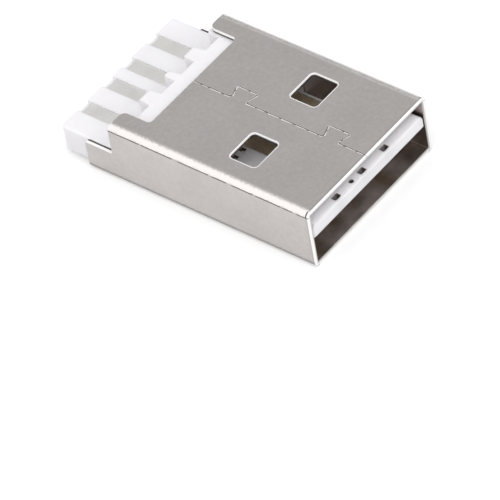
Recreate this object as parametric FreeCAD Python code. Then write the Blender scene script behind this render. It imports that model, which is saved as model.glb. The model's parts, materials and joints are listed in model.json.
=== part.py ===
import FreeCAD, Part
import math
import os

# Data plug: folded sheet shell, one white moulding and four flat contact strips.
# Millimetres. +X points out of the mouth, +Z is up on the seam side, the plug lies on
# its plain wall. Distances along the plug are counted back from the mouth.

# shell, one folded sheet
plug_width = 12.0
plug_height = 4.5
sheet = 0.3
bend_outer = 0.38
overall_length = 20.0
rim_round = 0.05

# rear end of the shell: notch in the seam wall, corner tabs, lower side tabs
low_tab_length = 2.2
low_tab_corner = 0.15
foot_corner = 0.4
step_corner = 0.12
corner_tab_length = 2.15
corner_tab_width = 1.62
tab_corner = 0.45
notch_corner = 0.25

# latch windows, two through the seam wall and two through the plain wall
window_start = 5.25
window_length = 2.1
window_width = 2.5
window_offset = 3.05
window_corner = 0.3

# seam with two interlocking heads that point to +Y
seam_gap = 0.04
front_head = 2.75
rear_head_to_notch = 3.55
neck_width = 1.05
head_width = 1.68
head_height = 1.0
neck_round = 0.22
head_round = 0.16

# contact strips
strip_thickness = 0.25
strip_width = 1.0
inner_pitch = 2.0
outer_pitch = 2.5
outer_start = 1.2
inner_start = 2.2
jog_length = 0.95
jog_bend_inner = 0.12
strip_end_gap = 0.32
strip_end_chamfer = 0.06

# tongue of the moulding, with the strips in its lower face
mating_gap = 1.9
tongue_thickness = 0.95
tongue_front_gap = 0.05
tongue_side_gap = 0.05
tongue_side_round = 0.45
tongue_nose_round = 0.15
tongue_lip_round = 0.08

# opening in the tongue under the windows, with a thin web between the strips
relief_lead = 0.25
relief_web = 0.3
relief_margin = 0.15

# block of the moulding that fills the rear of the shell
block_length = 5.95
block_overhang = 0.05
block_side_gap = 0.02
block_top_gap = 0.04
block_corner = 0.2
top_drop = 0.05

# tail plate of the moulding, between and behind the side tabs
tail_reach = 2.2
tail_thickness = 2.0
tail_proud = 0.08
tail_rear_corner = 0.3
tail_round = 0.12

# channels for the strips
strip_depth = 0.1
slot_gap = 0.03
tail_slot_gap = 0.06
strip_tip_gap = 0.1
tunnel_length = 2.05
tunnel_side_gap = 0.06
jog_to_tunnel_end = 0.5

# pockets in the rear face of the block, one over each strip, each with a small ramp
pocket_length = 0.9
pocket_inner_half = 0.65
pocket_outer_half = 0.75
pocket_run_out = 0.25
ramp_setback = 0.2
ramp_end_gap = 0.05
ramp_rise = 0.18
ramp_lip = 0.05
ramp_bite = 0.05

# small holes down through the nose of the tongue
nose_hole_place = 0.42
nose_hole_length = 0.42
nose_hole_width = 0.56
nose_hole_corner = 0.08
nose_hole_offsets = (2.1, -0.2, -2.8)
round_hole_offset = -1.25
round_hole_radius = 0.17

# small holes through the web, behind the window on the -Y side
web_hole_place = 8.45
web_hole_length = 0.38
web_hole_width = 0.34
web_hole_offsets = (-1.88, -2.64)

# a cut reaches this far past the face it opens through
through = 0.5
# two places this close count as one
near = 1e-4

shell_length = overall_length - tail_reach
mouth = overall_length / 2
half_width = plug_width / 2
inner_half = half_width - sheet
inner_top = plug_height - sheet
tab_end = shell_length - low_tab_length
notch_start = tab_end - corner_tab_length
notch_half_width = half_width - corner_tab_width
head_places = (notch_start - rear_head_to_notch, front_head)
inner_offset = inner_pitch / 2
outer_offset = inner_offset + outer_pitch
tongue_face = sheet + mating_gap
tongue_top = tongue_face + tongue_thickness
strip_ceiling = tongue_face + strip_thickness
tail_top = sheet + tail_thickness
block_half_width = inner_half - block_side_gap
block_top = inner_top - block_top_gap
step_height = tail_top - tail_proud
strip_top_tail = tail_top - strip_depth
strip_floor_tail = strip_top_tail - strip_thickness
block_end = tab_end + block_overhang
block_start = block_end - block_length
pocket_start = block_end - pocket_length
tunnel_end = pocket_start + ramp_setback
tunnel_start = tunnel_end - tunnel_length
jog_start = tunnel_end - jog_to_tunnel_end - jog_length
ramp_end = block_end - ramp_end_gap
relief_start = window_start - relief_lead
relief_floor = tongue_face + relief_web
relief_rail = outer_offset + strip_width / 2 + relief_margin
x_axis = FreeCAD.Vector(1, 0, 0)
y_axis = FreeCAD.Vector(0, 1, 0)
z_axis = FreeCAD.Vector(0, 0, 1)


def back(distance):
    """Place along X this far behind the mouth."""
    return mouth - distance


def box(x0, x1, y0, y1, z0, z1):
    low = FreeCAD.Vector(min(x0, x1), min(y0, y1), min(z0, z1))
    return Part.makeBox(abs(x1 - x0), abs(y1 - y0), abs(z1 - z0), low)


def runs_along(edge, axis):
    run = edge.Vertexes[-1].Point - edge.Vertexes[0].Point
    return run.Length > near and abs(abs(run.dot(axis)) / run.Length - 1) < near


def round_edges(shape, radius, axis, wanted):
    """Round the straight edges along an axis whose middle is wanted."""
    chosen = [e for e in shape.Edges if runs_along(e, axis) and wanted(e.CenterOfMass)]
    return shape.makeFillet(radius, chosen)


def rounded_wire(points, radii):
    """Closed wire through the points, each corner rounded by its radius."""
    edges = []
    starts = []
    ends = []
    count = len(points)
    for i in range(count):
        corner = points[i]
        to_last = (points[i - 1] - corner).normalize()
        to_next = (points[(i + 1) % count] - corner).normalize()
        half_angle = to_last.getAngle(to_next) / 2
        setback = radii[i] / math.tan(half_angle)
        start = corner + to_last * setback
        end = corner + to_next * setback
        if radii[i] > 0:
            reach = radii[i] / math.sin(half_angle) - radii[i]
            middle = corner + (to_last + to_next).normalize() * reach
            edges.append(Part.Arc(start, middle, end).toShape())
        starts.append(start)
        ends.append(end)
    for i in range(count):
        if (ends[i] - starts[(i + 1) % count]).Length > near:
            edges.append(Part.makeLine(ends[i], starts[(i + 1) % count]))
    return Part.Wire(Part.__sortEdges__(edges))


def plan_prism(corners, z0, z1):
    """Upright prism over corners given as x, y, radius."""
    points = [FreeCAD.Vector(x, y, z0) for x, y, r in corners]
    wire = rounded_wire(points, [r for x, y, r in corners])
    return Part.Face(wire).extrude(z_axis * (z1 - z0))


def side_prism(corners, y0, y1):
    """Prism across the plug over corners given as x, z, radius."""
    points = [FreeCAD.Vector(x, y0, z) for x, z, r in corners]
    wire = rounded_wire(points, [r for x, z, r in corners])
    return Part.Face(wire).extrude(y_axis * (y1 - y0))


def shifted(path, shift):
    """The path moved sideways to its left, corners kept concentric."""
    lines = []
    for (u0, v0, r0), (u1, v1, r1) in zip(path, path[1:]):
        length = math.hypot(u1 - u0, v1 - v0)
        du = (u1 - u0) / length
        dv = (v1 - v0) / length
        lines.append((u0 - dv * shift, v0 + du * shift, du, dv))
    last_u, last_v, du, dv = lines[-1]
    length = math.hypot(path[-1][0] - path[-2][0], path[-1][1] - path[-2][1])
    moved = [(lines[0][0], lines[0][1], 0)]
    for i in range(1, len(lines)):
        u0, v0, du0, dv0 = lines[i - 1]
        u1, v1, du1, dv1 = lines[i]
        turn = du0 * dv1 - dv0 * du1
        reach = ((u1 - u0) * dv1 - (v1 - v0) * du1) / turn
        radius = path[i][2] - math.copysign(1, turn) * shift
        moved.append((u0 + du0 * reach, v0 + dv0 * reach, radius))
    moved.append((last_u + du * length, last_v + dv * length, 0))
    return moved


def ribbon(path, width):
    """Closed corners of a band of even width along an open path."""
    return shifted(path, width / 2) + shifted(path, -width / 2)[::-1]


def seam_path():
    """Seam from behind the notch to past the mouth, with its interlocking heads."""
    path = [(back(notch_start + through), 0, 0)]
    for place in head_places:
        x = back(place)
        path.append((x - neck_width / 2, 0, neck_round))
        path.append((x - head_width / 2, head_height, head_round))
        path.append((x + head_width / 2, head_height, head_round))
        path.append((x + neck_width / 2, 0, neck_round))
    path.append((mouth + through, 0, 0))
    return path


def folded_tube():
    """Tube with rounded bends and a softened rim at the mouth."""
    everywhere = lambda middle: True
    outer = box(mouth, back(shell_length), -half_width, half_width, 0, plug_height)
    outer = round_edges(outer, bend_outer, x_axis, everywhere)
    inner = box(mouth + through, back(shell_length) - through,
                -inner_half, inner_half, sheet, inner_top)
    inner = round_edges(inner, bend_outer - sheet, x_axis, everywhere)
    tube = outer.cut(inner)
    rim = [e for e in tube.Edges if e.BoundBox.XMin > mouth - near]
    return tube.makeFillet(rim_round, rim)


def shell_side():
    """Side outline of the shell with its rear steps."""
    corners = [(mouth, 0, 0),
               (mouth, plug_height, 0),
               (back(tab_end), plug_height, 0),
               (back(tab_end), step_height, step_corner),
               (back(shell_length), step_height, low_tab_corner),
               (back(shell_length), 0, foot_corner)]
    return side_prism(corners, -half_width, half_width)


def notch():
    """Cut in the seam wall that leaves the two corner tabs."""
    side = notch_half_width
    outside = half_width + through
    behind = back(tab_end + tab_corner + through)
    corners = [(back(notch_start), -side, notch_corner),
               (back(notch_start), side, notch_corner),
               (back(tab_end), side, tab_corner),
               (back(tab_end), outside, 0),
               (behind, outside, 0),
               (behind, -outside, 0),
               (back(tab_end), -outside, 0),
               (back(tab_end), -side, tab_corner)]
    return plan_prism(corners, inner_top - through, plug_height + through)


def window(middle):
    near = middle - window_width / 2
    far = middle + window_width / 2
    front = back(window_start)
    rear = back(window_start + window_length)
    corners = [(front, near, window_corner), (front, far, window_corner),
               (rear, far, window_corner), (rear, near, window_corner)]
    return plan_prism(corners, -through, plug_height + through)


def shell():
    shape = folded_tube().common(shell_side())
    seam = plan_prism(ribbon(seam_path(), seam_gap), inner_top - through, plug_height + through)
    return shape.cut([notch(), window(window_offset), window(-window_offset), seam])


def strip_path(start):
    """Middle line of a strip seen from the side, from its tip to the tail end."""
    bend = jog_bend_inner + strip_thickness / 2
    front = tongue_face + strip_thickness / 2
    rear = strip_floor_tail + strip_thickness / 2
    return [(back(start), front, 0),
            (back(jog_start), front, bend),
            (back(jog_start + jog_length), rear, bend),
            (back(overall_length - strip_end_gap), rear, 0)]


def strip(start, middle):
    half = strip_width / 2
    shape = side_prism(ribbon(strip_path(start), strip_thickness), middle - half, middle + half)
    rear = back(overall_length - strip_end_gap)
    rim = [e for e in shape.Edges if e.BoundBox.XMax < rear + near
           and e.BoundBox.ZMin > strip_top_tail - near]
    return shape.makeChamfer(strip_end_chamfer, rim)


def tongue():
    side = inner_half - tongue_side_gap
    front = mouth - tongue_front_gap
    shape = box(front, back(block_start + through), -side, side, tongue_face, tongue_top)
    shape = round_edges(shape, tongue_side_round, x_axis, lambda m: m.z > tongue_top - near)
    nose = [e for e in shape.Edges if e.BoundBox.XMin > front - near
            and e.BoundBox.ZMin > tongue_top - tongue_side_round - near]
    shape = shape.makeFillet(tongue_nose_round, nose)
    shape = round_edges(shape, tongue_lip_round, y_axis,
                        lambda m: m.x > front - near and m.z < tongue_face + near)
    rail = side + through
    opening = [box(back(relief_start), back(block_start), -rail, rail, relief_floor, inner_top)]
    for way in (-1, 1):
        opening.append(box(back(relief_start), back(block_start), way * relief_rail,
                           way * rail, 0, inner_top))
    return shape.cut(opening)


def nose_holes():
    """Small holes through the nose of the tongue, three square and one round."""
    front = back(nose_hole_place) + nose_hole_length / 2
    rear = back(nose_hole_place) - nose_hole_length / 2
    corner = nose_hole_corner
    made = []
    for middle in nose_hole_offsets:
        near = middle - nose_hole_width / 2
        far = middle + nose_hole_width / 2
        corners = [(front, near, corner), (front, far, corner),
                   (rear, far, corner), (rear, near, corner)]
        made.append(plan_prism(corners, tongue_face - through, inner_top))
    centre = FreeCAD.Vector(back(nose_hole_place), round_hole_offset, 0)
    made.append(Part.makeCylinder(round_hole_radius, inner_top, centre))
    return made


def web_holes():
    """Two small square holes through the web."""
    front = back(web_hole_place) + web_hole_length / 2
    rear = back(web_hole_place) - web_hole_length / 2
    return [box(rear, front, middle - web_hole_width / 2, middle + web_hole_width / 2,
                tongue_face - through, relief_floor + through) for middle in web_hole_offsets]


def block():
    """Rear block inside the shell; between the corner tabs its top falls away a little."""
    side = block_half_width
    shape = box(back(block_start), back(block_end), -side, side, sheet, block_top)
    shape = round_edges(shape, block_corner, x_axis, lambda m: True)
    end = block_end + through
    drop = top_drop * (end - pocket_start) / (block_end - pocket_start)
    slope = side_prism([(back(pocket_start), block_top, 0),
                        (back(end), block_top - drop, 0),
                        (back(end), inner_top + through, 0),
                        (back(pocket_start), inner_top + through, 0)],
                       -notch_half_width, notch_half_width)
    return shape.cut(slope)


def tail():
    """Plate that carries the strip ends."""
    side = block_half_width
    end = back(overall_length)
    shape = box(back(block_end - through), end, -side, side, sheet, tail_top)
    shape = round_edges(shape, tail_rear_corner, z_axis, lambda m: m.x < end + near)
    rim = [e for e in shape.Edges if e.CenterOfMass.x < back(block_end)
           and (e.BoundBox.ZMin > tail_top - near or e.BoundBox.ZMax < sheet + near)]
    return shape.makeFillet(tail_round, rim)


def strip_channels(start, middle):
    """Slots, tunnel, tail channel and pocket that one strip needs."""
    half = strip_width / 2
    slot = half + slot_gap
    loose_side = middle - half - tail_slot_gap
    end = back(overall_length) - through
    cuts = [box(back(start - strip_tip_gap), back(block_start), middle - slot, middle + slot,
                0, strip_ceiling)]
    cuts.append(box(back(relief_start), back(block_start), middle - slot, middle + slot,
                    0, inner_top))
    cuts.append(box(back(block_start - through), back(tunnel_start + through),
                    middle - slot, middle + slot, tongue_face, strip_ceiling))
    cuts.append(box(back(tunnel_start), back(tunnel_end), loose_side,
                    middle + half + tunnel_side_gap, strip_floor_tail, strip_ceiling))
    cuts.append(box(back(tunnel_end), end, loose_side, middle + half,
                    strip_floor_tail, strip_top_tail))
    cuts.append(box(back(block_end), end, loose_side, middle + half,
                    strip_floor_tail, inner_top))
    cuts.append(pocket(middle))
    return cuts


def pocket(middle):
    inner = pocket_inner_half
    outer = pocket_outer_half
    last = back(block_end + pocket_run_out)
    corners = [(back(pocket_start), middle - inner, 0),
               (back(pocket_start), middle + inner, 0),
               (back(block_end), middle + outer, 0),
               (last, middle + outer, pocket_run_out),
               (last, middle - outer, pocket_run_out),
               (back(block_end), middle - outer, 0)]
    return plan_prism(corners, strip_top_tail, inner_top + through)


def ramp(middle):
    """Wedge over the strip in the foot of a pocket, joined to both pocket walls."""
    start = tunnel_end
    share = (ramp_end - pocket_start) / (block_end - pocket_start)
    half = pocket_inner_half + (pocket_outer_half - pocket_inner_half) * share + ramp_bite
    return side_prism([(back(start), strip_top_tail, 0),
                       (back(start), strip_top_tail + ramp_rise, 0),
                       (back(ramp_end), strip_top_tail + ramp_lip, 0),
                       (back(ramp_end), strip_top_tail, 0)],
                      middle - half, middle + half)


def insulator(places):
    shape = tongue().fuse([block(), tail()])
    cuts = nose_holes() + web_holes()
    for start, middle in places:
        cuts.extend(strip_channels(start, middle))
    shape = shape.cut(cuts)
    return shape.fuse([ramp(middle) for start, middle in places]).removeSplitter()


strips = {"contact_outer_left": (outer_start, outer_offset),
          "contact_inner_left": (inner_start, inner_offset),
          "contact_inner_right": (inner_start, -inner_offset),
          "contact_outer_right": (outer_start, -outer_offset)}

os.makedirs("parts", exist_ok=True)
shell().exportStep("parts/shell.step")
insulator(strips.values()).exportStep("parts/insulator.step")
for name, (start, middle) in strips.items():
    strip(start, middle).exportStep("parts/" + name + ".step")
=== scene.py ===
import json
from random import Random
import bpy
from mathutils import Matrix, Vector


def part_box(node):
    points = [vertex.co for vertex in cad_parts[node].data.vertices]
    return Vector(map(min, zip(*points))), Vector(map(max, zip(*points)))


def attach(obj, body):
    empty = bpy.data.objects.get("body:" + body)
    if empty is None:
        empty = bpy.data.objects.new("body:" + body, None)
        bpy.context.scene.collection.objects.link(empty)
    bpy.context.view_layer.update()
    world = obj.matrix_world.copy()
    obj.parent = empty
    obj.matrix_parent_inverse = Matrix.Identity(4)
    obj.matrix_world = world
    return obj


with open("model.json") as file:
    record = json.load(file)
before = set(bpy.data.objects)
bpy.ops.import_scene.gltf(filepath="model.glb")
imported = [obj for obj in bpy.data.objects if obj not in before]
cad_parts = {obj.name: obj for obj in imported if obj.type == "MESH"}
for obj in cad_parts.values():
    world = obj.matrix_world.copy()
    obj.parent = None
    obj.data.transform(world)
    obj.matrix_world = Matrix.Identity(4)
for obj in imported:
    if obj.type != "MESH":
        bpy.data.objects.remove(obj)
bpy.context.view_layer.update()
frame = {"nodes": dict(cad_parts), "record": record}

# Bare data plug on a white studio floor: plated sheet shell, white moulding, tinned strips.
# Metres. +X leaves the mouth, +Z is up through the seam wall.

nodes = frame["nodes"]
scene = bpy.context.scene
flatCosine = 0.5  # past this share of a face's normal along an axis, the face lies across it
print("frame loaded:", len(nodes), "nodes")


def newMaterial(name):
    material = bpy.data.materials.new(name)
    material.use_nodes = True
    tree = material.node_tree
    tree.nodes.clear()
    return material, tree


def finishSurface(tree, shader):
    output = tree.nodes.new("ShaderNodeOutputMaterial")
    tree.links.new(shader.outputs[0], output.inputs["Surface"])


def feed(tree, node, inputs):
    # each input takes a link or a plain value
    for name, value in inputs.items():
        if isinstance(value, bpy.types.NodeSocket):
            tree.links.new(value, node.inputs[name])
        else:
            node.inputs[name].default_value = value
    return node


def addNode(tree, kind, inputs, **settings):
    node = tree.nodes.new(kind)
    for name, value in settings.items():
        setattr(node, name, value)
    return feed(tree, node, inputs)


def newGroup(name, inputs, outputs):
    group = bpy.data.node_groups.new(name, "ShaderNodeTree")
    for socketName, kind, value in inputs:
        socket = group.interface.new_socket(socketName, in_out="INPUT", socket_type=kind)
        socket.default_value = value
    for socketName, kind in outputs:
        group.interface.new_socket(socketName, in_out="OUTPUT", socket_type=kind)
    return group, group.nodes.new("NodeGroupInput"), group.nodes.new("NodeGroupOutput")


def placeGroup(tree, group, inputs):
    node = tree.nodes.new("ShaderNodeGroup")
    node.node_tree = group
    return feed(tree, node, inputs)


def mapRange(tree, value, low, high, toLow=0.0, toHigh=1.0):
    return addNode(tree, "ShaderNodeMapRange",
                   {"Value": value, "From Min": low, "From Max": high,
                    "To Min": toLow, "To Max": toHigh}).outputs["Result"]


def mathNode(tree, operation, *values):
    return addNode(tree, "ShaderNodeMath", dict(enumerate(values)),
                   operation=operation).outputs[0]


def above(tree, value, limit):
    return mathNode(tree, "GREATER_THAN", value, limit)


def below(tree, value, limit):
    return mathNode(tree, "LESS_THAN", value, limit)


def between(tree, value, low, high):
    return allOf(tree, above(tree, value, low), below(tree, value, high))


def allOf(tree, *masks):
    result = masks[0]
    for mask in masks[1:]:
        result = mathNode(tree, "MULTIPLY", result, mask)
    return result


def anyOf(tree, *masks):
    result = masks[0]
    for mask in masks[1:]:
        result = mathNode(tree, "MAXIMUM", result, mask)
    return result


def notIn(tree, mask):
    return below(tree, mask, 0.5)  # a mask is 0 or 1, or runs between them


def size(tree, value):
    return mathNode(tree, "ABSOLUTE", value)


def beyond(tree, value, limit):
    # how far a value is past a limit, and 0 before it
    return mathNode(tree, "MAXIMUM", mathNode(tree, "SUBTRACT", value, limit), 0.0)


def splitVector(tree, vector):
    return addNode(tree, "ShaderNodeSeparateXYZ", {0: vector}).outputs


def objectPlace(tree):
    return tree.nodes.new("ShaderNodeTexCoord").outputs["Object"]


def faceNormal(tree):
    return tree.nodes.new("ShaderNodeNewGeometry").outputs["Normal"]


def vectorNode(tree, operation, *vectors):
    return addNode(tree, "ShaderNodeVectorMath", dict(enumerate(vectors)), operation=operation)


def worldUnit(tree, vector):
    # a direction given on the object, turned with it and made one long
    turned = addNode(tree, "ShaderNodeVectorTransform", {"Vector": vector},
                     vector_type="NORMAL", convert_from="OBJECT", convert_to="WORLD")
    return vectorNode(tree, "NORMALIZE", turned.outputs[0]).outputs[0]


def mixColour(tree, factor, first, second):
    return addNode(tree, "ShaderNodeMix", {0: factor, 6: first, 7: second},
                   data_type="RGBA").outputs[2]


def mixVector(tree, factor, first, second):
    return addNode(tree, "ShaderNodeMix", {0: factor, 4: first, 5: second},
                   data_type="VECTOR").outputs[1]


def mixLevel(tree, factor, first, second):
    return addNode(tree, "ShaderNodeMix", {0: factor, 2: first, 3: second},
                   data_type="FLOAT").outputs[0]


effectLook = {
    "grainDetail": 3.0,
    "grainRoughness": 0.6,
    "rollingStretch": (0.06, 1.0, 1.0),  # long marks run along X
    "rollingDetail": 4.0,
    "speckRange": (0.55, 0.78),
    "turnRange": (0.995, 0.86),  # cosines between no edge mark and a full one
    "bevelSamples": 6,
    "chipScale": 3500.0,
    "chipRange": (0.35, 0.65),
    "cloudDistortion": 0.6,
    "cloudRange": (0.3, 0.7),
    "recessSamples": 12,
}


def makeStippleGroup():
    # Fine even grain of a plated or blasted surface, with longer marks along the rolling way.
    look = effectLook
    group, entry, leave = newGroup(
        "stipple",
        [("Grain Size", "NodeSocketFloat", 0.00006), ("Rolling Marks", "NodeSocketFloat", 0.3)],
        [("Height", "NodeSocketFloat"), ("Specks", "NodeSocketFloat")])
    place = objectPlace(group)
    scale = mathNode(group, "DIVIDE", 1.0, entry.outputs["Grain Size"])
    grain = addNode(group, "ShaderNodeTexNoise",
                    {"Vector": place, "Scale": scale, "Detail": look["grainDetail"],
                     "Roughness": look["grainRoughness"]}).outputs[0]
    stretched = addNode(group, "ShaderNodeMapping",
                        {"Vector": place, "Scale": look["rollingStretch"]}).outputs[0]
    marks = addNode(group, "ShaderNodeTexNoise",
                    {"Vector": stretched, "Scale": scale,
                     "Detail": look["rollingDetail"]}).outputs[0]
    height = mixLevel(group, entry.outputs["Rolling Marks"], grain, marks)
    specks = mapRange(group, grain, *look["speckRange"])
    feed(group, leave, {"Height": height, "Specks": specks})
    return group


def makeEdgeGroup():
    # Where two faces meet, seen by how far a softened normal turns from the flat one; the mask
    # serves edge wear and painted edge highlights and shade.
    look = effectLook
    group, entry, leave = newGroup(
        "edgeWearAndShading",
        [("Width", "NodeSocketFloat", 0.00008), ("Breakup", "NodeSocketFloat", 0.3)],
        [("Mask", "NodeSocketFloat"), ("Normal", "NodeSocketVector")])
    soft = addNode(group, "ShaderNodeBevel", {"Radius": entry.outputs["Width"]},
                   samples=look["bevelSamples"]).outputs[0]
    turn = vectorNode(group, "DOT_PRODUCT", soft, faceNormal(group)).outputs["Value"]
    turned = mapRange(group, turn, *look["turnRange"])
    chips = addNode(group, "ShaderNodeTexNoise",
                    {"Vector": objectPlace(group), "Scale": look["chipScale"], "Detail": 2.0})
    uneven = mapRange(group, chips.outputs[0], *look["chipRange"])
    loss = mathNode(group, "MULTIPLY", uneven, entry.outputs["Breakup"])
    mask = mathNode(group, "SUBTRACT", turned, loss)
    clamped = addNode(group, "ShaderNodeClamp", {"Value": mask}).outputs[0]
    feed(group, leave, {"Mask": clamped, "Normal": soft})
    return group


def makeCloudGroup():
    # Slow uneven tone of a handled or moulded surface.
    look = effectLook
    group, entry, leave = newGroup(
        "cloudiness", [("Patch Size", "NodeSocketFloat", 0.003)], [("Value", "NodeSocketFloat")])
    scale = mathNode(group, "DIVIDE", 1.0, entry.outputs["Patch Size"])
    slow = addNode(group, "ShaderNodeTexNoise",
                   {"Vector": objectPlace(group), "Scale": scale, "Detail": 2.0,
                    "Distortion": look["cloudDistortion"]})
    feed(group, leave, {"Value": mapRange(group, slow.outputs[0], *look["cloudRange"])})
    return group


def makeRecessGroup():
    # How closed in a place is: 1 in narrow gaps, holes and deep corners, 0 in the open.
    group, entry, leave = newGroup(
        "recess",
        [("Reach", "NodeSocketFloat", 0.0004), ("Open", "NodeSocketFloat", 0.75),
         ("Closed", "NodeSocketFloat", 0.3)],
        [("Shade", "NodeSocketFloat")])
    near = addNode(group, "ShaderNodeAmbientOcclusion", {"Distance": entry.outputs["Reach"]},
                   samples=effectLook["recessSamples"])
    shade = mapRange(group, near.outputs["AO"], entry.outputs["Open"], entry.outputs["Closed"])
    feed(group, leave, {"Shade": shade})
    return group


stipple = makeStippleGroup()
edgeWearAndShading = makeEdgeGroup()
cloudiness = makeCloudGroup()
recess = makeRecessGroup()
print("shared effects ready")


shellLook = {
    "plate": (0.685, 0.652, 0.638, 1.0),
    "plateDull": (0.585, 0.555, 0.541, 1.0),
    # painted highlight: a lighter plate colour on the outer bend
    "foldHighlight": (0.8, 0.765, 0.75, 1.0),
    "inside": (0.8, 0.735, 0.7, 1.0),
    "insideBrown": (0.58, 0.505, 0.45, 1.0),  # dull plating inside the tube
    # painted shade colour for dark lines, gaps and the mouth
    "paintedShade": (0.1, 0.09, 0.085, 1.0),
    # near white: the sheared faces' matte tone with painted highlight, also on worn edges and
    # window lips
    "cutEdgeAndSheen": (0.97, 0.96, 0.95, 1.0),
    "cutInner": (0.075, 0.066, 0.06, 1.0),  # torn part of a sheared edge, darkened to near black by painted shade
    "rimInner": (0.6, 0.59, 0.58, 1.0),
    "roughness": (0.2, 0.27),
    "cutRoughness": 0.5,
    "cutMetal": 0.1,
    "cutOuter": 0.00019,  # depth where the sheared part ends
    "sheet": 0.0003,
    "slackShare": 0.05,  # of the sheet, for masks that end on its faces
    "bend": 0.00038,
    "foldReach": 0.00062,  # where the outer skin starts to turn
    "foldRipple": 0.00022,  # unsteady border of the bright bend
    "foldRippleSize": 0.00014,
    "foldAgree": 0.75,
    "paintedFoldLineDrop": 0.000305,  # painted dark reflection below the bend: the dark horizon mirrored in it
    "paintedFoldLineHalf": 0.00003,
    "paintedFoldLineScale": 1400.0,
    "paintedFoldLineBreak": 0.4,
    "paintedFoldLineOut": 0.3,
    "foldHighlightEnd": 0.5,
    "footLine": 0.0001,  # painted dark reflection along the lower bend: the floor's shadow mirrored in it
    "footShade": 0.7,
    "rimDepth": 0.00006,
    "rimShadeBandReach": 3.0,  # in rim depths, as the rim's dash; painted shade band behind the rim's edge
    "rimShadeBandStrength": 0.15,
    "rimShadeDashReach": (2.0, 3.4),
    "rimShadeDashOut": 0.8,
    "mouthReach": (0.0015, 0.0045),  # painted shade, in patches, starts behind the rim
    "mouthShade": (0.04, 0.4),
    "windowMiddle": (0.0037, 0.00305),  # along X, and each side of Y
    "windowHalf": (0.00105, 0.00125),
    "windowCorner": 0.0003,
    "windowLip": 0.00006,
    "punchRoll": 0.00012,  # rolled upper part of a punched edge
    "seamReach": 0.0012,  # half width of the strip that holds the seam
    "seamLength": 0.0134,
    "seamLip": 0.000038,  # depth of the seam's lips; the one leaning from the light gets painted shade
    "seamLean": 0.12,  # lips that lean away from the light are dark
    "edgeWidth": 0.0001,
    "edgeBreakup": 0.25,
    "cloudSize": 0.004,
    "mottleSize": 0.00028,
    "mottleShare": 0.5,
    "dimSize": 0.0016,
    "grainSize": 0.00007,
    "rollingMarks": 0.4,
    "grainDepth": 0.000006,
    "grainStrength": 0.8,
    # painted shade in closed-in places inside the shell: gaps, seam walls and corners
    "closedReach": 0.00012,
    "closedRange": (0.6, 0.2),
}


def fromWindow(tree, look, x, outY):
    # distance of a place from the inner frame that the windows' round corners are drawn about
    corner = look["windowCorner"]
    squares = []
    for place, middle, half in zip((x, outY), look["windowMiddle"], look["windowHalf"]):
        away = size(tree, mathNode(tree, "SUBTRACT", place, middle))
        squares.append(mathNode(tree, "POWER", beyond(tree, away, half - corner), 2.0))
    return mathNode(tree, "SQRT", mathNode(tree, "ADD", *squares))


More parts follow.
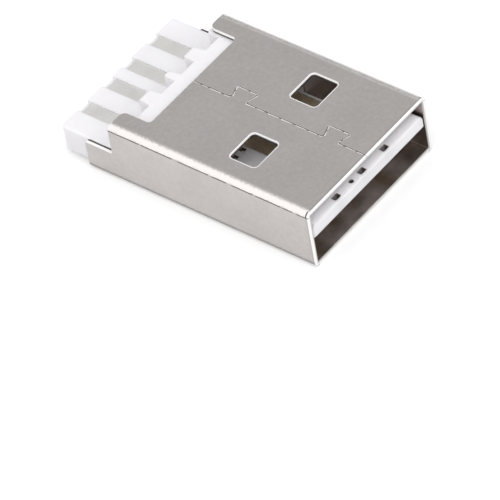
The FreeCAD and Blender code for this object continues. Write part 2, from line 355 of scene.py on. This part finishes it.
def shellPlaces(tree, look, lip):
    # Masks by place on the shell. They mark sheared edges and their torn inner part, which takes
    # painted shade, the inside skin and its roof, the fold with its painted highlight, the
    # painted dark lines under it, along the foot, behind the rim and on the seam, and the lips of
    # mouth, windows and seam.
    low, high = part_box("shell")
    x, y, z = splitVector(tree, objectPlace(tree))
    facingY, facingZ = splitVector(tree, faceNormal(tree))[1:]
    level = above(tree, size(tree, facingZ), flatCosine)
    steep = below(tree, size(tree, facingZ), flatCosine)
    outY = size(tree, y)
    sheet, bend, rimDepth = look["sheet"], look["bend"], look["rimDepth"]
    slack = sheet * look["slackShare"]
    inner = sheet - slack * 2
    middleZ = (low.z + high.z) / 2
    depth = mathNode(tree, "MINIMUM", mathNode(tree, "SUBTRACT", high.y, outY),
                     mathNode(tree, "MINIMUM", mathNode(tree, "SUBTRACT", high.z, z),
                              mathNode(tree, "SUBTRACT", z, low.z)))

    besideSeam = anyOf(tree, above(tree, outY, look["seamReach"]),
                       below(tree, x, high.x - look["seamLength"]))
    inWideWall = anyOf(tree, above(tree, z, high.z - sheet - slack),
                       below(tree, z, low.z + sheet + slack))
    wideCut = allOf(tree, inWideWall, steep, besideSeam,
                    below(tree, outY, high.y - bend))
    sideCut = allOf(tree, above(tree, outY, high.y - sheet - slack),
                    below(tree, size(tree, facingY), flatCosine),
                    between(tree, z, low.z + bend, high.z - bend))
    rim = above(tree, x, high.x - rimDepth)
    # painted shade: a dark band just behind the rim's edge
    rimShadeBand = between(tree, x, high.x - rimDepth * look["rimShadeBandReach"], high.x - rimDepth)
    cut = anyOf(tree, wideCut, sideCut, rim)

    inside = allOf(tree, below(tree, outY, high.y - inner),
                   between(tree, z, low.z + inner, high.z - inner))
    shallow, deep = look["mouthReach"]
    # painted shade inside the mouth, fading in from behind the rim
    inMouth = allOf(tree, inside, mapRange(tree, x, high.x - deep, high.x - shallow))
    seamWall = allOf(tree, above(tree, z, high.z - sheet), steep, notIn(tree, besideSeam),
                     notIn(tree, rim))

    foldLineHeight = high.z - look["paintedFoldLineDrop"]
    # painted dark reflection: a broken dark line below the bend, where the horizon is mirrored
    fromMark = size(tree, mathNode(tree, "SUBTRACT", z, foldLineHeight))
    broken = addNode(tree, "ShaderNodeTexNoise",
                     {"W": x, "Scale": look["paintedFoldLineScale"], "Detail": 1.0},
                     noise_dimensions="1D").outputs[0]
    paintedFoldLine = allOf(tree, below(tree, fromMark, look["paintedFoldLineHalf"]),
                     above(tree, outY, high.y - bend * look["paintedFoldLineOut"]),
                     above(tree, broken, look["paintedFoldLineBreak"]))
    # painted shade: a dark dash on the bend just behind the rim
    least, most = look["rimShadeDashReach"]
    rimShadeDash = allOf(tree, above(tree, outY, high.y - bend * look["rimShadeDashOut"]),
                    above(tree, z, foldLineHeight),
                    between(tree, x, high.x - rimDepth * most, high.x - rimDepth * least))
    across = mapRange(tree, outY, high.y - look["foldReach"],
                      high.y - look["foldReach"] * look["foldHighlightEnd"])

    nearWindow = below(tree, fromWindow(tree, look, x, outY),
                       look["windowCorner"] + look["windowLip"])
    punched = allOf(tree, wideCut, nearWindow)
    # torn lower part of cut faces, with painted shade over its dull tone
    tornAndShaded = anyOf(tree, allOf(tree, cut, above(tree, depth, look["cutOuter"]), notIn(tree, rim)),
                 allOf(tree, punched, above(tree, depth, look["punchRoll"])))

    onSeam = allOf(tree, above(tree, z, high.z - look["seamLip"]), notIn(tree, besideSeam),
                   below(tree, x, high.x - rimDepth * least))
    lipX, lipY = splitVector(tree, lip)[:2]
    lean = mathNode(tree, "SUBTRACT", lipY, lipX)
    # painted shade on the seam lip that leans away from the light
    seamShade = allOf(tree, onSeam, below(tree, lean, -look["seamLean"]))
    return {
        "cut": cut,
        "tornAndShaded": tornAndShaded,
        "rolled": allOf(tree, punched, below(tree, depth, look["punchRoll"])),
        # painted highlight on the rolled lip round each window
        "windowLip": allOf(tree, nearWindow, level, notIn(tree, inside)),
        "rimInner": allOf(tree, rim, above(tree, depth, look["cutOuter"])),
        "rimShadeBand": rimShadeBand,
        "inside": anyOf(tree, inside, seamWall),
        "roof": allOf(tree, inside, below(tree, facingZ, -flatCosine), above(tree, z, middleZ)),
        "inMouth": inMouth,
        "fold": allOf(tree, across, above(tree, z, foldLineHeight)),
        # painted dark reflection along the lower bend
        "foot": allOf(tree, above(tree, outY, high.y - bend), below(tree, z, look["footLine"])),
        "paintedDarkLines": anyOf(tree, paintedFoldLine, rimShadeDash, seamShade),
        "onSeam": onSeam,
    }


def foldNormal(tree, look, soft, rolled):
    # The outer skin starts to turn well before the sharp part of the bend, and the upper part of
    # a punched edge is rolled over.
    low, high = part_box("shell")
    place = objectPlace(tree)
    y, z = splitVector(tree, place)[1:]
    rise = mathNode(tree, "SUBTRACT", z, (low.z + high.z) / 2)
    reach, ripple = look["foldReach"], look["foldRipple"]
    waves = addNode(tree, "ShaderNodeTexNoise",
                    {"Vector": place, "Scale": 1 / look["foldRippleSize"], "Detail": 2.0})
    wobble = mapRange(tree, waves.outputs[0], 0.0, 1.0, -ripple, ripple)
    pastY = beyond(tree, mathNode(tree, "ADD", size(tree, y), wobble), high.y - reach)
    pastZ = beyond(tree, size(tree, rise), (high.z - low.z) / 2 - reach)
    wayZ = mathNode(tree, "SIGN", rise)
    turned = addNode(tree, "ShaderNodeCombineXYZ",
                     {"Y": mathNode(tree, "MULTIPLY", pastY, mathNode(tree, "SIGN", y)),
                      "Z": mathNode(tree, "MULTIPLY", pastZ, wayZ)}).outputs[0]
    unit = worldUnit(tree, turned)
    facing = faceNormal(tree)
    agree = vectorNode(tree, "DOT_PRODUCT", unit, facing).outputs["Value"]
    inBend = allOf(tree, above(tree, pastY, 0.0), above(tree, pastZ, 0.0),
                   above(tree, agree, look["foldAgree"]))
    outward = addNode(tree, "ShaderNodeCombineXYZ", {"Z": wayZ}).outputs[0]
    leaning = vectorNode(tree, "ADD", facing, outward).outputs[0]
    overLip = vectorNode(tree, "NORMALIZE", leaning).outputs[0]
    return mixVector(tree, rolled, mixVector(tree, inBend, soft, unit), overLip)


def makeNickelPlate():
    look = shellLook
    material, tree = newMaterial("nickelPlate")
    grain = placeGroup(tree, stipple, {"Grain Size": look["grainSize"],
                                       "Rolling Marks": look["rollingMarks"]})
    edge = placeGroup(tree, edgeWearAndShading, {"Width": look["edgeWidth"],
                                       "Breakup": look["edgeBreakup"]})
    lip = placeGroup(tree, edgeWearAndShading, {"Width": look["seamLip"], "Breakup": 0.0})
    cloud = placeGroup(tree, cloudiness, {"Patch Size": look["cloudSize"]}).outputs["Value"]
    mottle = placeGroup(tree, cloudiness, {"Patch Size": look["mottleSize"]}).outputs["Value"]
    dim = placeGroup(tree, cloudiness, {"Patch Size": look["dimSize"]}).outputs["Value"]
    # painted shade where the inside is closed in
    openEnd, closedEnd = look["closedRange"]
    closed = placeGroup(tree, recess, {"Reach": look["closedReach"], "Open": openEnd,
                                       "Closed": closedEnd})
    places = shellPlaces(tree, look, lip.outputs["Normal"])
    # edges that get wear and painted highlight
    wornAndSheenEdge = allOf(tree, edge.outputs["Mask"], notIn(tree, places["onSeam"]),
                 notIn(tree, places["rimShadeBand"]))
    # painted highlight: cut faces, worn edges and window lips take near white
    bright = anyOf(tree, places["cut"], wornAndSheenEdge, places["windowLip"])

    share = look["mottleShare"]
    tone = mathNode(tree, "ADD", mathNode(tree, "MULTIPLY", mottle, share),
                    mathNode(tree, "MULTIPLY", cloud, 1 - share))
    plate = mixColour(tree, tone, look["plate"], look["plateDull"])
    # painted highlight: the fold takes a lighter plate colour
    plate = mixColour(tree, places["fold"], plate, look["foldHighlight"])
    brown = mixColour(tree, tone, look["inside"], look["insideBrown"])
    skin = allOf(tree, places["inside"], notIn(tree, places["roof"]))
    plate = mixColour(tree, skin, plate, brown)
    colour = mixColour(tree, bright, plate, look["cutEdgeAndSheen"])
    colour = mixColour(tree, places["rimInner"], colour, look["rimInner"])
    colour = mixColour(tree, places["tornAndShaded"], colour, look["cutInner"])
    # painted shade and dark reflections: lines under the bends, behind the rim and on the seam,
    # patches in the mouth, closed-in gaps
    patchy = mapRange(tree, dim, 0.0, 1.0, *look["mouthShade"])
    dark = anyOf(tree, places["paintedDarkLines"],
                 mathNode(tree, "MULTIPLY", places["foot"], look["footShade"]),
                 mathNode(tree, "MULTIPLY", places["rimShadeBand"], look["rimShadeBandStrength"]),
                 mathNode(tree, "MULTIPLY", places["inMouth"], patchy),
                 mathNode(tree, "MULTIPLY", closed.outputs["Shade"], places["inside"]))
    colour = mixColour(tree, dark, colour, look["paintedShade"])

    rough = mapRange(tree, cloud, 0.0, 1.0, *look["roughness"])
    rough = anyOf(tree, rough, mathNode(tree, "MULTIPLY", places["cut"], look["cutRoughness"]))
    bump = addNode(tree, "ShaderNodeBump",
                   {"Strength": look["grainStrength"], "Distance": look["grainDepth"],
                    "Height": grain.outputs["Height"],
                    "Normal": foldNormal(tree, look, edge.outputs["Normal"], places["rolled"])})
    surface = addNode(tree, "ShaderNodeBsdfPrincipled",
                      {"Base Color": colour, "Roughness": rough, "Normal": bump.outputs[0],
                       "Metallic": mapRange(tree, bright, 0.0, 1.0, 1.0, look["cutMetal"])})
    finishSurface(tree, surface)
    return material


plasticLook = {
    "white": (0.845, 0.833, 0.858, 1.0),
    "shade": (0.81, 0.798, 0.825, 1.0),
    # painted highlight: a lighter white along edges
    "edge": (0.88, 0.875, 0.89, 1.0),
    # painted shade colour for holes and closed-in corners
    "recessShade": (0.13, 0.1, 0.08, 1.0),
    "noseReach": (0.0001, 0.0012),  # holes lie between these, behind the nose
    "noseHalf": 0.0036,
    "noseSlope": (0.0009, 0.0001),  # where the top starts and ends to lean
    "noseLean": (0.1, 0.9),
    "rearFacing": (0.3, 0.8),
    "rearWall": 0.62,  # share of painted shade on walls that face the mouth
    "webX": (0.00134, 0.00176),  # two square holes in the web
    "webY": (-0.00283, -0.00169),
    "upright": 0.4,
    "level": 0.9,
    "roughness": (0.36, 0.46),
    "edgeWidth": 0.00008,
    "edgeBreakup": 0.5,
    "edgeShare": 0.5,
    "cloudSize": 0.0025,
    "grainSize": 0.0001,
    "rollingMarks": 0.1,
    "grainDepth": 0.000002,
    "grainStrength": 0.35,
    "closedReach": 0.0005,
    "closedRange": (0.42, 0.22),
    "depthShare": 0.5,
    "depthScale": 0.0006,
    "depthColour": (1.0, 0.9, 0.95),
}


def smallHoles(tree, look):
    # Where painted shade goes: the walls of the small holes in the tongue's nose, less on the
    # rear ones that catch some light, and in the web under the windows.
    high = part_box("insulator")[1]
    near, far = look["noseReach"]
    x, y = splitVector(tree, objectPlace(tree))[:2]
    facing = splitVector(tree, faceNormal(tree))
    dark = mapRange(tree, facing[0], *look["rearFacing"], 1.0, look["rearWall"])
    inNose = allOf(tree, between(tree, x, high.x - far, high.x - near),
                   below(tree, size(tree, y), look["noseHalf"]), dark)
    inWeb = allOf(tree, between(tree, x, *look["webX"]), between(tree, y, *look["webY"]))
    upright = below(tree, size(tree, facing[2]), look["upright"])
    return allOf(tree, anyOf(tree, inNose, inWeb), upright)


def noseNormal(tree, look, soft):
    # The top of the tongue leans forward more and more towards its soft nose.
    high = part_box("insulator")[1]
    start, end = look["noseSlope"]
    x = splitVector(tree, objectPlace(tree))[0]
    facingZ = splitVector(tree, faceNormal(tree))[2]
    lean = mapRange(tree, x, high.x - start, high.x - end, *look["noseLean"])
    leaning = addNode(tree, "ShaderNodeCombineXYZ", {"X": lean, "Z": 1.0}).outputs[0]
    onNose = allOf(tree, above(tree, x, high.x - start), above(tree, facingZ, look["level"]))
    return mixVector(tree, onNose, soft, worldUnit(tree, leaning))


def makeWhitePlastic():
    look = plasticLook
    material, tree = newMaterial("whitePlastic")
    grain = placeGroup(tree, stipple, {"Grain Size": look["grainSize"],
                                       "Rolling Marks": look["rollingMarks"]})
    edge = placeGroup(tree, edgeWearAndShading, {"Width": look["edgeWidth"],
                                       "Breakup": look["edgeBreakup"]})
    cloud = placeGroup(tree, cloudiness, {"Patch Size": look["cloudSize"]}).outputs["Value"]
    openEnd, closedEnd = look["closedRange"]
    closed = placeGroup(tree, recess, {"Reach": look["closedReach"], "Open": openEnd,
                                       "Closed": closedEnd})
    colour = mixColour(tree, cloud, look["white"], look["shade"])
    # painted highlight: edges turn a little lighter
    colour = mixColour(tree, mathNode(tree, "MULTIPLY", edge.outputs["Mask"], look["edgeShare"]),
                       colour, look["edge"])
    # painted shade in closed-in corners and the small holes
    dark = anyOf(tree, closed.outputs["Shade"], smallHoles(tree, look))
    colour = mixColour(tree, dark, colour, look["recessShade"])
    bump = addNode(tree, "ShaderNodeBump",
                   {"Strength": look["grainStrength"], "Distance": look["grainDepth"],
                    "Height": grain.outputs["Height"],
                    "Normal": noseNormal(tree, look, edge.outputs["Normal"])})
    surface = addNode(tree, "ShaderNodeBsdfPrincipled",
                      {"Base Color": colour, "Normal": bump.outputs[0],
                       "Roughness": mapRange(tree, cloud, 0.0, 1.0, *look["roughness"]),
                       "Subsurface Weight": look["depthShare"],
                       "Subsurface Scale": look["depthScale"],
                       "Subsurface Radius": look["depthColour"]})
    finishSurface(tree, surface)
    return material


contactLook = {
    "tin": (0.8, 0.79, 0.77, 1.0),
    "speck": (0.95, 0.95, 0.94, 1.0),
    # painted shade: dark lines along the strips' edges
    "edge": (0.34, 0.33, 0.31, 1.0),
    "brass": (0.9, 0.77, 0.6, 1.0),
    "brassDull": (0.7, 0.58, 0.43, 1.0),
    "brassFrom": -0.0035,  # bare tone from here to the mouth
    "roughness": (0.42, 0.58),
    "edgeWidth": 0.00004,
    "edgeBreakup": 0.3,
    "cloudSize": 0.0012,
    "grainSize": 0.00006,
    "rollingMarks": 0.15,
    "grainDepth": 0.00001,
    "grainStrength": 0.7,
}


def makeTinnedContact():
    # Tin plate at the open tail, bare brass tone further in towards the mouth.
    look = contactLook
    material, tree = newMaterial("tinnedContact")
    grain = placeGroup(tree, stipple, {"Grain Size": look["grainSize"],
                                       "Rolling Marks": look["rollingMarks"]})
    edge = placeGroup(tree, edgeWearAndShading, {"Width": look["edgeWidth"],
                                       "Breakup": look["edgeBreakup"]})
    cloud = placeGroup(tree, cloudiness, {"Patch Size": look["cloudSize"]}).outputs["Value"]
    x = splitVector(tree, objectPlace(tree))[0]
    tin = mixColour(tree, grain.outputs["Specks"], look["tin"], look["speck"])
    brass = mixColour(tree, cloud, look["brass"], look["brassDull"])
    colour = mixColour(tree, above(tree, x, look["brassFrom"]), tin, brass)
    # painted shade along the strips' edges
    colour = mixColour(tree, edge.outputs["Mask"], colour, look["edge"])
    bump = addNode(tree, "ShaderNodeBump",
                   {"Strength": look["grainStrength"], "Distance": look["grainDepth"],
                    "Height": grain.outputs["Height"], "Normal": edge.outputs["Normal"]})
    surface = addNode(tree, "ShaderNodeBsdfPrincipled",
                      {"Base Color": colour, "Metallic": 1.0, "Normal": bump.outputs[0],
                       "Roughness": mapRange(tree, cloud, 0.0, 1.0, *look["roughness"])})
    finishSurface(tree, surface)
    return material


finishes = {
    "nickel_plate": makeNickelPlate(),
    "white_plastic": makeWhitePlastic(),
    "tinned_contact": makeTinnedContact(),
}
for part in frame["record"]["subparts"]:
    for slot in nodes[part["node"]].material_slots:
        slot.material = finishes[part["material_slot"]]


burrLook = {
    # near white: painted highlight on the lit side of the seam
    "burrSheen": (0.93, 0.92, 0.91, 1.0),
    "metallic": 0.2,
    "roughness": (0.5, 0.35),
    "patchSize": 0.0006,
    "grainSize": 0.00005,
    "rollingMarks": 0.2,
    "grainDepth": 0.000002,
    "grainStrength": 0.4,
    "width": 0.00007,
    "widthSpread": (0.7, 1.0),
    "taper": 0.8,  # each dash narrows to this share
    "lift": 0.000002,
    "gap": 0.00004,
    "heads": (0.0001, 0.00725),  # middles of the interlocked heads
    "start": -0.00345,  # seam's rear end, at the notch
    "mouthClear": 0.0001,
    "neckHalf": 0.000525,
    "headHalf": 0.00084,
    "headHeight": 0.001,
    "clear": 0.00009,
    "dash": 0.0007,
    "dashSpread": (0.5, 1.3),
    "skip": 0.0002,
    "skipSpread": (0.5, 1.5),
    "randomStart": 4,
}


def seamRuns(look, mouth):
    # Straight runs of the seam from the notch to the mouth, each with the side of its burr.
    neck, wide, top = look["neckHalf"], look["headHalf"], look["headHeight"]
    runs = []
    x = look["start"]
    for head in look["heads"]:
        runs.append(((x, 0.0), (head - neck, 0.0), -1.0))
        runs.append(((head - neck, 0.0), (head - wide, top), -1.0))
        runs.append(((head - wide, top), (head + wide, top), -1.0))
        runs.append(((head + wide, top), (head + neck, 0.0), 1.0))
        x = head + neck
    runs.append(((x, 0.0), (mouth, 0.0), -1.0))
    return runs


def makeBurrMetal(look):
    material, tree = newMaterial("seamBurrAndSheen")
    grain = placeGroup(tree, stipple, {"Grain Size": look["grainSize"],
                                       "Rolling Marks": look["rollingMarks"]})
    cloud = placeGroup(tree, cloudiness, {"Patch Size": look["patchSize"]}).outputs["Value"]
    bump = addNode(tree, "ShaderNodeBump",
                   {"Strength": look["grainStrength"], "Distance": look["grainDepth"],
                    "Height": grain.outputs["Height"]})
    rough = mapRange(tree, grain.outputs["Specks"], 0.0, 1.0, *look["roughness"])
    surface = addNode(tree, "ShaderNodeBsdfPrincipled",
                      {"Base Color": mixColour(tree, cloud, look["burrSheen"], shellLook["plate"]),
                       "Metallic": look["metallic"], "Roughness": rough,
                       "Normal": bump.outputs[0]})
    finishSurface(tree, surface)
    return material


def makeSeamBurr():
    # Broken lip that the punch leaves along the seam, coloured near white as painted highlight.
    look = burrLook
    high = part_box("shell")[1]
    random = Random(look["randomStart"])
    points, faces = [], []
    for start, end, side in seamRuns(look, high.x - look["mouthClear"]):
        first, last = Vector(start), Vector(end)
        along = (last - first).normalized()
        across = Vector((-along.y, along.x)) * side
        near = look["gap"] / 2
        place, reach = look["clear"], (last - first).length - look["clear"]
        while place < reach:
            stop = min(place + look["dash"] * random.uniform(*look["dashSpread"]), reach)
            width = look["width"] * random.uniform(*look["widthSpread"])
            corners = [first + along * place + across * near,
                       first + along * stop + across * near,
                       first + along * stop + across * (near + width * look["taper"]),
                       first + along * place + across * (near + width)]
            if side < 0:
                corners.reverse()
            base = len(points)
            points += [(corner.x, corner.y, high.z + look["lift"]) for corner in corners]
            faces.append((base, base + 1, base + 2, base + 3))
            place = stop + look["skip"] * random.uniform(*look["skipSpread"])
    mesh = bpy.data.meshes.new("seamBurr")
    mesh.from_pydata(points, [], faces)
    mesh.materials.append(makeBurrMetal(look))
    burr = bpy.data.objects.new("seamBurr", mesh)
    scene.collection.objects.link(burr)
    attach(burr, "root")


makeSeamBurr()
print("seam burr made")


studio = {
    "floorHalf": 0.6,
    "floorColour": (0.7, 0.7, 0.7, 1.0),
    "floorLift": 0.34,  # brings the seen floor to white
    "floorGloss": 0.16,  # and the floor that the metal mirrors
    "floorDrop": 0.00001,
    "light": (1.0, 1.0, 1.0, 1.0),
    "horizon": 0.3,
    "wall": 0.8,
    "wallStart": (0.08, 0.16),  # heights over the dark horizon line
    "ring": 0.61,
    "ringStart": (0.3, 0.48),
    "keyWay": (0.62, -0.1, 0.78),
    "keySpread": (0.45, 0.8),  # outer and inner cosine
    "key": 1.5,
    "sideWay": (-0.49, -0.77, 0.41),
    "sideSpread": (0.45, 0.86),
    "side": 1.26,
}


def makeFloor():
    # White floor that keeps the plug's shadow, lifted to plain white where the camera sees it.
    half, drop = studio["floorHalf"], -studio["floorDrop"]
    mesh = bpy.data.meshes.new("studioFloor")
    corners = [(-half, -half, drop), (half, -half, drop), (half, half, drop), (-half, half, drop)]
    mesh.from_pydata(corners, [], [(0, 1, 2, 3)])
    floor = bpy.data.objects.new("studioFloor", mesh)
    scene.collection.objects.link(floor)
    material, tree = newMaterial("studioWhite")
    paper = addNode(tree, "ShaderNodeBsdfDiffuse", {"Color": studio["floorColour"]})
    seen = tree.nodes.new("ShaderNodeLightPath")
    straight = mathNode(tree, "MULTIPLY", seen.outputs["Is Camera Ray"], studio["floorLift"])
    mirrored = mathNode(tree, "MULTIPLY", seen.outputs["Is Glossy Ray"], studio["floorGloss"])
    lift = mathNode(tree, "ADD", straight, mirrored)
    glow = addNode(tree, "ShaderNodeEmission", {"Strength": lift})
    both = addNode(tree, "ShaderNodeAddShader", {0: paper.outputs[0], 1: glow.outputs[0]})
    finishSurface(tree, both)
    mesh.materials.append(material)


def towards(tree, way, direction, outer, inner):
    # 1 within the inner cosine of a direction, falling to 0 at the outer one
    closeness = vectorNode(tree, "DOT_PRODUCT", way,
                           Vector(direction).normalized()).outputs["Value"]
    return addNode(tree, "ShaderNodeMapRange",
                   {"Value": closeness, "From Min": outer, "From Max": inner},
                   interpolation_type="SMOOTHSTEP").outputs["Result"]


def makeWorld():
    # Light tent: white wall and greyer sky, a big soft key over the front, a side softbox and a
    # dark horizon line.
    world = bpy.data.worlds.new("lightTent")
    scene.world = world
    world.use_nodes = True
    tree = world.node_tree
    tree.nodes.clear()
    way = tree.nodes.new("ShaderNodeTexCoord").outputs["Generated"]
    height = splitVector(tree, way)[2]
    aboveLine = mapRange(tree, height, *studio["wallStart"])
    level = mixLevel(tree, aboveLine, studio["horizon"], studio["wall"])
    level = mixLevel(tree, mapRange(tree, height, *studio["ringStart"]), level, studio["ring"])
    key = towards(tree, way, studio["keyWay"], *studio["keySpread"])
    level = mixLevel(tree, key, level, studio["key"])
    side = allOf(tree, towards(tree, way, studio["sideWay"], *studio["sideSpread"]), aboveLine)
    level = mixLevel(tree, side, level, studio["side"])
    tent = addNode(tree, "ShaderNodeBackground", {"Color": studio["light"], "Strength": level})
    white = addNode(tree, "ShaderNodeBackground", {"Color": studio["light"]})
    seen = tree.nodes.new("ShaderNodeLightPath").outputs["Is Camera Ray"]
    choose = addNode(tree, "ShaderNodeMixShader",
                     {0: seen, 1: tent.outputs[0], 2: white.outputs[0]})
    output = tree.nodes.new("ShaderNodeOutputWorld")
    tree.links.new(choose.outputs[0], output.inputs["Surface"])


makeFloor()
makeWorld()
print("studio ready")


cameraSet = {
    "spot": (0.18211, -0.18218, 0.24126),
    "forward": (-0.50954, 0.50597, -0.69596),
    "right": (0.78491, 0.60471, -0.13503),
    "lens": 408.9,
    "sensor": 36.0,
    "nearest": 0.05,
    "farthest": 5.0,
}


def makeCamera():
    data = bpy.data.cameras.new("studioCamera")
    data.sensor_width = cameraSet["sensor"]
    data.lens = cameraSet["lens"]
    data.clip_start = cameraSet["nearest"]
    data.clip_end = cameraSet["farthest"]
    camera = bpy.data.objects.new("studioCamera", data)
    scene.collection.objects.link(camera)
    forward = Vector(cameraSet["forward"]).normalized()
    right = Vector(cameraSet["right"]).normalized()
    up = right.cross(forward)
    turn = Matrix((right, up, -forward)).transposed()
    camera.matrix_world = Matrix.Translation(Vector(cameraSet["spot"])) @ turn.to_4x4()
    scene.camera = camera


makeCamera()
scene.view_settings.view_transform = "Standard"
print("camera ready")
